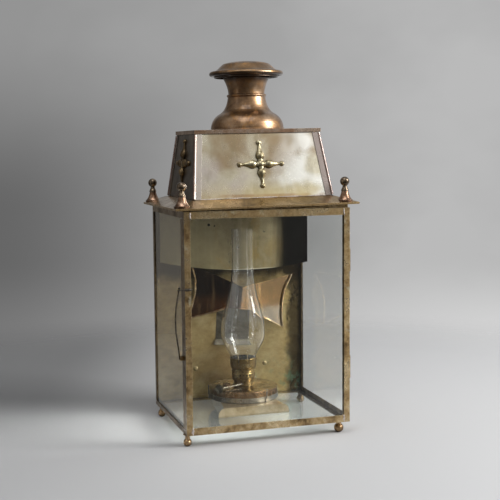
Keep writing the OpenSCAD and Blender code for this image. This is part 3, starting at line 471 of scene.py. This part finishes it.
def by_face(place, colour, roughness):
    """The front leaves are pale like the front panel and darker on the right hip, the side leaves are painted dark as
    shade like the side panels, and the beads are pink.
    """
    facing = place.put("TexCoord", out=1)
    sideways = axis_of(facing, "X")
    sideways = sideways.put("Math", {"operation": "ABSOLUTE"}, {0: sideways})
    forwards = axis_of(facing, "Y") * -1.0
    # Leaves turned to the sides are painted dark as shade.
    shaded_leaf = fade(sideways, 0.86, 0.92)
    pale_leaf = fade(forwards, 0.86, 0.92)
    colour = laid_over(shaded_leaf * 0.85, colour, shade(66, 54, 44))
    right_hip = fade(axis_of(place, "X"), 0.05, 0.07)
    pale = laid_over(right_hip, shade(188, 182, 172), shade(136, 130, 126))
    return laid_over(pale_leaf * 0.8, colour, pale), roughness


hip_copper = metal("hip_copper", [shade(112, 86, 76), shade(160, 128, 116), shade(206, 182, 174)],
                   cloud=24, speck=110, rough=(0.24, 0.38), dents=(18, 0.0003), stains=by_face)
dress(hip_copper, "hip_strips")

# ---- Turned crosses ----
# Four turned brass arms on a small boss, cut in half lengthwise and soldered flat to the panel.
cross_brass = metal("cross_brass", [shade(98, 86, 62), shade(160, 148, 116), shade(202, 194, 166)],
                    cloud=50, speck=160, rough=(0.32, 0.44), dents=(40, 0.00006), edge_wear_and_highlight=0.9, dirt_and_shade=1.0,
                    coat=(0.4, 0.16))
# The side crosses are a darker copy of the front cross brass: painted shade.
shaded_cross = metal("dark_cross_brass", [shade(52, 42, 28), shade(98, 80, 54), shade(150, 128, 94)],
                   cloud=50, speck=160, rough=(0.32, 0.44), dents=(40, 0.00006), dirt_and_shade=1.0)
dress(cross_brass, "cross_front")
dress(shaded_cross, "cross_left", "cross_right")

# ---- Crown plate ----
# A flat copper plate with a turned-down edge, which carries the cowl.
crown_copper = metal("crown_copper", [shade(104, 76, 58), shade(164, 134, 110), shade(220, 200, 182)],
                     cloud=20, speck=90, rough=(0.26, 0.4), dents=(14, 0.0005), edge_wear_and_highlight=1.0, coat=(0.5, 0.15))
dress(crown_copper, "crown_plate")

# ---- Chimney cowl ----
# Spun copper in three parts: a waisted bell, a flared neck with a bead, and a cap with a rolled
# rim, held off the neck by three straps so that the smoke can leave.


def cowl_patches_and_shadow(place, colour, roughness):
    height = axis_of(place, "Z")
    golden = fade(mottle(place, 26, 6, 0.62, 1.8), 0.5, 0.66)
    dark = fade(mottle(place, 17, 5, 0.6, 1.0), 0.5, 0.66)
    cap = fade(height, 0.588, 0.592)
    colour = laid_over(cap * 0.5, colour, shade(122, 96, 62))
    colour = laid_over(dark * 0.6, colour, shade(92, 66, 44))
    colour = laid_over(golden * 0.6, colour, shade(190, 138, 78))
    # The neck just under the cap goes near black: a painted shadow of the cap.
    painted_shadow_under_cap = fade(height, 0.572, 0.582) * (1 - cap)
    colour = laid_over(painted_shadow_under_cap * 0.85, colour, shade(34, 24, 17))
    return colour, roughness


cowl_copper = metal("cowl_copper", [shade(90, 64, 44), shade(146, 114, 82), shade(194, 164, 134)],
                    cloud=22, speck=80, rough=(0.33, 0.47), dents=(16, 0.0002), stains=cowl_patches_and_shadow,
                    coat=(0.6, 0.14))
dress(cowl_copper, "cowl_bell", "cowl_neck", "cowl_cap", "cap_collar", "cap_straps")

# ---- Lamp stand ----
# A folded brass box without ends that lifts the lamp above the floor glass.
stand_brass = metal("stand_brass", [shade(176, 148, 108), shade(216, 194, 152), shade(238, 220, 186)],
                    cloud=26, speck=110, rough=(0.28, 0.42), dents=(16, 0.0004))
dress(stand_brass, "lamp_stand")

# ---- Font tray and clips ----
# A tinned dish that the font sits in, and three bent clips that keep it there.


def shaded_left_side(place, colour, roughness):
    """The side under the winder is painted darker as shade."""
    left_side_shade = fade(axis_of(place, "X") + mottle(place, 40, 4) * 0.03, -0.006, -0.036)
    return laid_over(left_side_shade * 0.75, colour, shade(52, 48, 40)), roughness


tinned = metal("tinned_sheet", [shade(116, 114, 108), shade(178, 176, 168), shade(222, 220, 214)],
               cloud=36, speck=120, rough=(0.22, 0.42), dents=(24, 0.0004), stains=shaded_left_side)
dress(tinned, "font_tray", "font_clips")

# ---- Door hinges and catch staple ----
# Brass leaves soldered to the case and the door, rolled round a brass pin, and a small staple
# that carries the spring catch.
hinge_brass = metal("hinge_brass", [shade(92, 72, 46), shade(156, 126, 82), shade(202, 170, 120)],
                    cloud=40, speck=160, rough=(0.24, 0.42), dents=(30, 0.0001))
dress(hinge_brass, "hinge_plates", "hinge_pins", "catch_staple", "door_hinges")

# ---- Door ----
# A folded brass frame round one large pane, which small tabs hold from behind.
dress(frame_brass, "door_frame", "door_tabs")
dress(window_glass, "door_glass")

door_low, door_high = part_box("door_frame")
stile, rail = 0.010, 0.0115
towards_front = (0, -1, 0)
for side, inner, width in (("left", door_low.x + stile, 0.0042), ("right", door_high.x - stile, 0.0036)):
    solder_run(f"solder_door_{side}_foot", "door", (inner, door_low.y, door_low.z + 0.0006),
               (inner, door_low.y, door_low.z + rail + 0.001), towards_front, width, 0.0007, inner)
    solder_run(f"solder_door_{side}_head", "door", (inner, door_low.y, door_high.z - 0.0006),
               (inner, door_low.y, door_high.z - rail - 0.001), towards_front, 0.8 * width, 0.0005, 3 + inner)

# ---- Keeper and spring catch ----
# Plain iron wire, bent cold. The catch turns in its staple and springs over the keeper.
iron_wire = metal("iron_wire", [shade(40, 36, 32), shade(74, 68, 60), shade(120, 112, 100)],
                  cloud=60, speck=300, rough=(0.34, 0.55), dents=(80, 0.00002))
dress(iron_wire, "catch_wire", "door_keeper")


def wire(name, route, gauge, material, body):
    curve = bpy.data.curves.new(name, "CURVE")
    curve.dimensions = "3D"
    curve.bevel_depth = gauge / 2
    curve.bevel_resolution = 3
    curve.use_fill_caps = True
    line = curve.splines.new("POLY")
    line.points.add(len(route) - 1)
    for point, at in zip(line.points, route):
        point.co = (*at, 1)
    curve.materials.append(material)
    made = bpy.data.objects.new(name, curve)
    bpy.context.scene.collection.objects.link(made)
    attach(made, body)
    return made


keeper_low, keeper_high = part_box("door_keeper")
binding_turns, binding_gauge = 7, 0.0009
keeper_radius = 0.00135 + binding_gauge / 2
keeper_y, keeper_z = keeper_low.y + 0.0024, (keeper_low.z + keeper_high.z) / 2
binding_start, binding_end = door_low.x + 0.0012, door_low.x + 0.0086
binding = []
for i in range(binding_turns * 16 + 1):
    a = math.tau * i / 16
    x = binding_start + (binding_end - binding_start) * i / (binding_turns * 16)
    binding.append((x, keeper_y + keeper_radius * math.cos(a), keeper_z + keeper_radius * math.sin(a)))
wire("keeper_binding", binding, binding_gauge, iron_wire, "door")

# ---- Rolled rims of the reflector ----
# The edges of both wings are rolled over a wire, so that they catch the light as bright lines.
rim_copper = metal("rim_copper", [shade(150, 116, 76), shade(226, 196, 146), shade(250, 232, 198)],
                   cloud=60, speck=200, rough=(0.14, 0.26), dents=(60, 0.00003), coat=(0.5, 0.1))
bow_middle, bow_turn, wing_rake = Vector((0.012, 0.081, 0.200)), math.radians(8), math.radians(12)
rim_gauge = 0.0026
wing_edge = [(0.026, -0.016), (0.044, -0.025), (0.0895, -0.0422), (0.084, -0.020), (0.0815, 0.004), (0.0835, 0.028),
             (0.0935, 0.0535)]
for side, mirrored in (("left", -1), ("right", 1)):
    route = []
    for along, up_edge in wing_edge:
        x = mirrored * along
        route.append(bow_middle + Vector((
            x * math.cos(bow_turn) + up_edge * math.sin(bow_turn),
            along * math.tan(wing_rake) - 0.0034,
            up_edge * math.cos(bow_turn) - x * math.sin(bow_turn))))
    wire(f"rolled_rim_{side}", route, rim_gauge, rim_copper, "case")

# ---- Oil font ----
# A flat spun copper vessel with a rolled shoulder and a small screwed filler.


def dark_top_and_left_shade(place, colour, roughness):
    """The flat top is darker olive with pink clouds, and the side under the winder is painted near black as shade."""
    top = fade(axis_of(place.put("TexCoord", out=1), "Z"), 0.8, 0.95)
    pink = fade(mottle(place, 30, 4, 0.6), 0.5, 0.64)
    colour = laid_over(top * 0.8, colour, shade(98, 88, 62))
    colour = laid_over(top * pink * 0.6, colour, shade(186, 154, 130))
    return shaded_left_side(place, colour, roughness)


font_copper = metal("font_copper", [shade(106, 82, 54), shade(172, 138, 100), shade(224, 192, 158)],
                    cloud=32, speck=110, rough=(0.2, 0.34), dents=(30, 0.0001), coat=(0.4, 0.12),
                     stains=dark_top_and_left_shade)
dress(font_copper, "oil_font", "filler_cap")

# ---- Burner ----
# Turned and pierced brass: a screwed collar, a drum with two rows of air holes and a gallery of sprung prongs. It has
# gone golden brown, with soot and painted shade in the holes and painted shade on its left side.


burner_low, burner_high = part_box("burner_body")
burner_middle = (burner_low + burner_high) / 2
drum_wall, gallery_foot = 0.0192, 0.0890


def soot_and_shade_side(place, colour, roughness):
    """Soot and painted shade make the inside black, so the holes and slots show black, and painted shade darkens the
    left side.
    """
    burner_left_shade = fade(axis_of(place, "X"), 0.002, -0.017)
    colour = laid_over(burner_left_shade * 0.5, colour, shade(58, 48, 32))
    from_axis = place.put("VectorMath", {"operation": "SUBTRACT"}, {0: place, 1: (burner_middle.x, burner_middle.y, 0)})
    from_axis = place.put("VectorMath", {"operation": "MULTIPLY"}, {0: from_axis, 1: (1, 1, 0)})
    out_by = place.put("VectorMath", {"operation": "LENGTH"}, {0: from_axis}, out=1)
    height = axis_of(place, "Z")
    # The inside of the drum and gallery is painted black: soot and painted shade.
    in_drum = fade(out_by, drum_wall, drum_wall - 0.0004) * fade(height, 0.0715, 0.0722)
    in_gallery = fade(out_by, 0.0226, 0.0222) * fade(height, gallery_foot + 0.006, gallery_foot + 0.0075)
    soot_and_shade_inside = in_drum + in_gallery
    return laid_over(soot_and_shade_inside.put("Math", {"operation": "MINIMUM"}, {0: soot_and_shade_inside, 1: 1.0}), colour, shade(20, 16, 12)), roughness


burner_brass = metal("burner_brass", [shade(104, 84, 50), shade(146, 122, 78), shade(186, 162, 112)],
                     cloud=60, speck=200, rough=(0.24, 0.36), dents=(50, 0.00003), dirt_and_shade=1.0, coat=(0.2, 0.1), nook=0.003,
                     stains=soot_and_shade_side)
dress(burner_brass, "burner_collar", "burner_body", "gallery")
shaft_steel = metal("shaft_steel", [shade(92, 86, 74), shade(168, 160, 142), shade(216, 210, 196)],
                    cloud=80, speck=300, rough=(0.2, 0.36), dents=(60, 0.00002))
knob_iron = metal("winder_iron", [shade(34, 32, 26), shade(70, 66, 54), shade(150, 144, 126)],
                  cloud=80, speck=300, rough=(0.2, 0.36), dents=(60, 0.00002), edge_wear_and_highlight=1.0)
dress(shaft_steel, "winder_shaft")
dress(knob_iron, "winder_knob")
sooty_brass = metal("sooty_brass", [shade(30, 26, 22), shade(52, 44, 34), shade(84, 70, 52)],
                    cloud=60, speck=200, rough=(0.4, 0.6), dents=(50, 0.00004))
dress(sooty_brass, "wick_tube")

# ---- Wick ----
# A woven cotton tube round the burner's inner tube. Its top is charred and a little ragged.


def charred(place, colour):
    height = axis_of(place, "Z")
    burnt = fade(height + mottle(place, 300, 4) * 0.002, 0.1005, 0.1025)
    return laid_over(burnt, colour, shade(26, 22, 20))


material, start = new_finish("woven_cotton")
place = place_in(start)
threads = mottle(place_in(start, (1, 1, 0.4)), 900, 3, 0.6)
cotton = start.put("ValToRGB", {"stops": [(0.35, shade(150, 134, 104)), (0.65, shade(216, 204, 176))]}, {0: threads})
surface = start.put("BsdfPrincipled", {}, {
    "Base Color": charred(place, cotton), "Roughness": 0.9,
    "Normal": start.put("Bump", {}, {"Strength": 1.0, "Distance": 1.0, "Height": threads * 0.0001})})
start.put("OutputMaterial", {}, {"Surface": surface})

wick_low, wick_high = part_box("wick")
wick_middle = (wick_low + wick_high) / 2
wick_outer = (wick_high.x - wick_low.x) / 2 - 0.0001
wick_inner, weave_depth = wick_outer - 0.0021, 0.00018
round_steps, rows = 96, 110
points, faces = [], []
for wall in range(2):
    for row in range(rows + 1):
        t = row / rows if wall == 0 else 1 - row / rows
        ragged = 0.0004 * noise.noise(Vector((7 * t, wall, 1.7)))
        for i in range(round_steps):
            a = math.tau * i / round_steps
            weave = weave_depth * (0.5 + 0.5 * math.cos(24 * a + math.pi * (row // 2 % 2)) * math.sin(math.pi * row / 2) )
            r = wick_outer - weave if wall == 0 else wick_inner + weave
            fray = -0.0007 * abs(noise.noise(Vector((5 * math.cos(a), 5 * math.sin(a), 2)))) if t == 1 else ragged * 0
            z = wick_low.z + t * (wick_high.z - 0.0001 - wick_low.z) + fray
            points.append((wick_middle.x + r * math.cos(a), wick_middle.y + r * math.sin(a), z))
total = 2 * (rows + 1)
for row in range(total):
    for i in range(round_steps):
        j, under = (i + 1) % round_steps, (row + 1) % total
        faces.append([row * round_steps + i, row * round_steps + j, under * round_steps + j, under * round_steps + i])
cotton_wick = point_mesh("cotton_wick", points, faces, material)
cotton_wick.data.polygons.foreach_set("use_smooth", [True] * len(faces))
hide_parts("wick")
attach(cotton_wick, "round_wick")

# ---- Lamp glass ----
# A blown ten-line glass with a bulge, thin and slightly uneven.
lamp_glass = clear_glass("lamp_glass", (0.99, 0.99, 0.985), waves=(70, 0.00004), stretch=(1, 1, 0.05), haze=0.03)
dress(lamp_glass, "chimney_glass")

# ---- Floor ----
# A pale grey paper floor that fades into the air round it, painted darker to the left as light falloff, with a painted
# shadow far to the left.


floor_reach = 1.35
material, start = new_finish("paper")
place = place_in(start)
out_from_middle = start.put("VectorMath", {"operation": "LENGTH"}, {0: place}, out=1)
side = axis_of(place, "X") * 0.954 - axis_of(place, "Y") * 0.298
# Darker to the left and lighter to the right: painted falloff of the light from the right window.
paper_tone_and_shade = start.put("ValToRGB", {"stops": [(0.0, shade(190, 190, 190)), (1.0, shade(216, 216, 216))]},
                       {0: fade(side, -0.5, 0.5)})
forwards = axis_of(place, "X") * 0.298 + axis_of(place, "Y") * 0.954
# A dark patch far to the left is a painted shadow of the lantern.
painted_floor_shadow = fade(side, -0.08, -0.42) * fade(forwards, -0.15, 0.22)
paper_tone_and_shade = laid_over(painted_floor_shadow * 0.9, paper_tone_and_shade, shade(128, 128, 128))
paper = start.put("BsdfPrincipled", {}, {"Base Color": paper_tone_and_shade, "Roughness": 0.9, "Specular IOR Level": 0.2})
nothing = start.put("BsdfTransparent", {}, {})
# The paper ends in front of the camera's picture, so bare metal and glass mirror the darker room there.
glossy_ray = start.put("LightPath", out=3)
past_edge = fade(out_from_middle, 0.7, 1.25)
gone = past_edge + fade(forwards, -0.2, -0.42) * glossy_ray * (1 - past_edge)
surface = start.put("MixShader", {}, {0: gone, 1: paper, 2: nothing})
start.put("OutputMaterial", {}, {"Surface": surface})
rim = [Vector((math.cos(a) * floor_reach, math.sin(a) * floor_reach, 0)) for a in
       (math.tau * i / 96 for i in range(96))]
point_mesh("paper_floor", rim, [list(range(96))], material)

# ---- Daylight ----
# One large soft window to the right and in front, a weaker one above, and a grey room round them.


def window(name, place, aim, size, power):
    light = bpy.data.lights.new(name, "AREA")
    light.shape = "RECTANGLE"
    light.size, light.size_y = size
    light.energy = power
    made = bpy.data.objects.new(name, light)
    made.location = place
    made.rotation_euler = (Vector(aim) - Vector(place)).to_track_quat("-Z", "Y").to_euler()
    made.visible_camera = False
    bpy.context.scene.collection.objects.link(made)


window("window_right", (2.05, -1.2, 1.4), (0, 0, 0.25), (1.0, 1.2), 60)
window("window_above", (-0.3, -0.7, 2.3), (0, 0, 0.3), (1.3, 1.3), 14)

room = bpy.data.worlds.new("room")
room.use_nodes = True
room.node_tree.nodes.clear()
bpy.context.scene.world = room
start = Layer(room.node_tree)
way = start.put("TexCoord", out=0)
up = axis_of(way, "Z")
right = axis_of(way, "X") * 0.954 - axis_of(way, "Y") * 0.298
cloth = (mottle(start.put("VectorMath", {"operation": "MULTIPLY"}, {0: way, 1: (8, 8, 13)}), 1, 3, 0.5) - 0.5) * 0.6
# The wall is painted lighter to the right: painted falloff of the light from the right window.
wall = start.put("ValToRGB", {"stops": [(0.0, shade(148, 148, 148)), (0.55, shade(164, 164, 164)),
                                       (1.0, shade(186, 186, 186))]}, {0: fade(right, -0.26, 0.26) + cloth})
# A dark zone low on the left of the wall is a painted shadow.
painted_wall_shadow = fade(right, 0.0, -0.24) * fade(up, 0.12, -0.06)
wall = laid_over(painted_wall_shadow, wall, shade(102, 102, 102))
# The floor beyond the paper is painted dark on the left as shadow and light on the right as the window's light.
floor_tone_and_shadow = start.put("ValToRGB", {"stops": [(0.0, shade(118, 118, 118)), (0.5, shade(176, 176, 176)), (1.0, shade(210, 210, 210))]},
                       {0: fade(right, -0.26, 0.26)})
behind = laid_over(fade(up, -0.10, -0.17), wall, floor_tone_and_shadow)
plain = behind
behind = laid_over(fade(right, -0.3, -0.5), behind, shade(108, 104, 98))
ahead = axis_of(way, "X") * 0.298 + axis_of(way, "Y") * 0.954
in_front = start.put("ValToRGB", {"stops": [(0.0, shade(84, 82, 80)), (0.42, shade(98, 96, 93)), (0.56, shade(118, 116, 112)), (0.66, shade(152, 150, 146)),
                                           (1.0, shade(196, 196, 194))]}, {0: fade(up, -1.0, 1.0)})
to_pale_wall = start.put("VectorMath", {"operation": "DOT_PRODUCT"}, {0: way, 1: (0.66, -0.62, 0.42)}, out=1)
in_front = laid_over(fade(to_pale_wall, 0.84, 0.97), in_front, (1.3, 1.3, 1.28))
turn = start.put("Math", {"operation": "ARCTAN2"}, {0: right, 1: ahead * -1.0})
glass_passed = start.put("Math", {"operation": "GREATER_THAN"}, {0: start.put("LightPath", out=12), 1: 0.5})
bays = glass_passed * 0.0
for middle, half, foot, tone, inside_only in ((-1.05, 0.07, -0.3, 1.3, False), (0.92, 0.07, -0.3, 2.2, False),
                                              (1.16, 0.05, -0.3, 1.7, False), (1.75, 0.12, -0.3, 1.4, False),
                                              (0.08, 0.12, 0.12, 1.8, True)):
    off = start.put("Math", {"operation": "ABSOLUTE"}, {0: turn - middle})
    bay = fade(off, half, 0.7 * half) * fade(up, foot - 0.03, foot + 0.03) * fade(up, 0.62, 0.55)
    if inside_only:
        bay = bay * glass_passed
    in_front = laid_over(bay, in_front, (tone, tone, 0.98 * tone))
    bays = bays + bay
seen = laid_over(fade(ahead, 0.3, -0.2), behind, in_front)
turned_back = start.put("LightPath", out=8) - start.put("LightPath", out=12)
mirrored = start.put("Math", {"operation": "GREATER_THAN"}, {0: turned_back, 1: 0.5})
seen_strength = start.put("Background", {}, {0: laid_over(mirrored, plain, seen),
                                             1: bays * glass_passed * mirrored * 3.4 + 1.0})
soft_light = start.put("Background", {}, {0: (0.27, 0.275, 0.285), 1: 1.0})
camera_ray = start.put("LightPath", out=0)
glossy_ray = start.put("LightPath", out=3)
through_ray = start.put("LightPath", out=6)
direct = start.put("Math", {"operation": "MINIMUM"}, {0: camera_ray + glossy_ray + through_ray, 1: 1.0})
surface = start.put("MixShader", {}, {0: direct, 1: soft_light, 2: seen_strength})
start.put("OutputWorld", {}, {"Surface": surface})

# ---- Camera ----
# It stands to the left of the front and a little above the middle, with a long lens.
lens = bpy.data.cameras.new("camera")
lens.lens = 75.604
lens.sensor_width = 36
lens.clip_start, lens.clip_end = 0.05, 50
camera = bpy.data.objects.new("camera", lens)
camera.matrix_world = (Matrix.Translation((-0.5206, -1.6770, 0.4689))
                       @ Matrix.Rotation(math.radians(-17.364), 4, "Z")
                       @ Matrix.Rotation(math.radians(90 - 5.571), 4, "X")
                       @ Matrix.Rotation(math.radians(-0.503), 4, "Z"))
bpy.context.scene.collection.objects.link(camera)
bpy.context.scene.camera = camera
bpy.context.scene.view_settings.view_transform = "Standard"
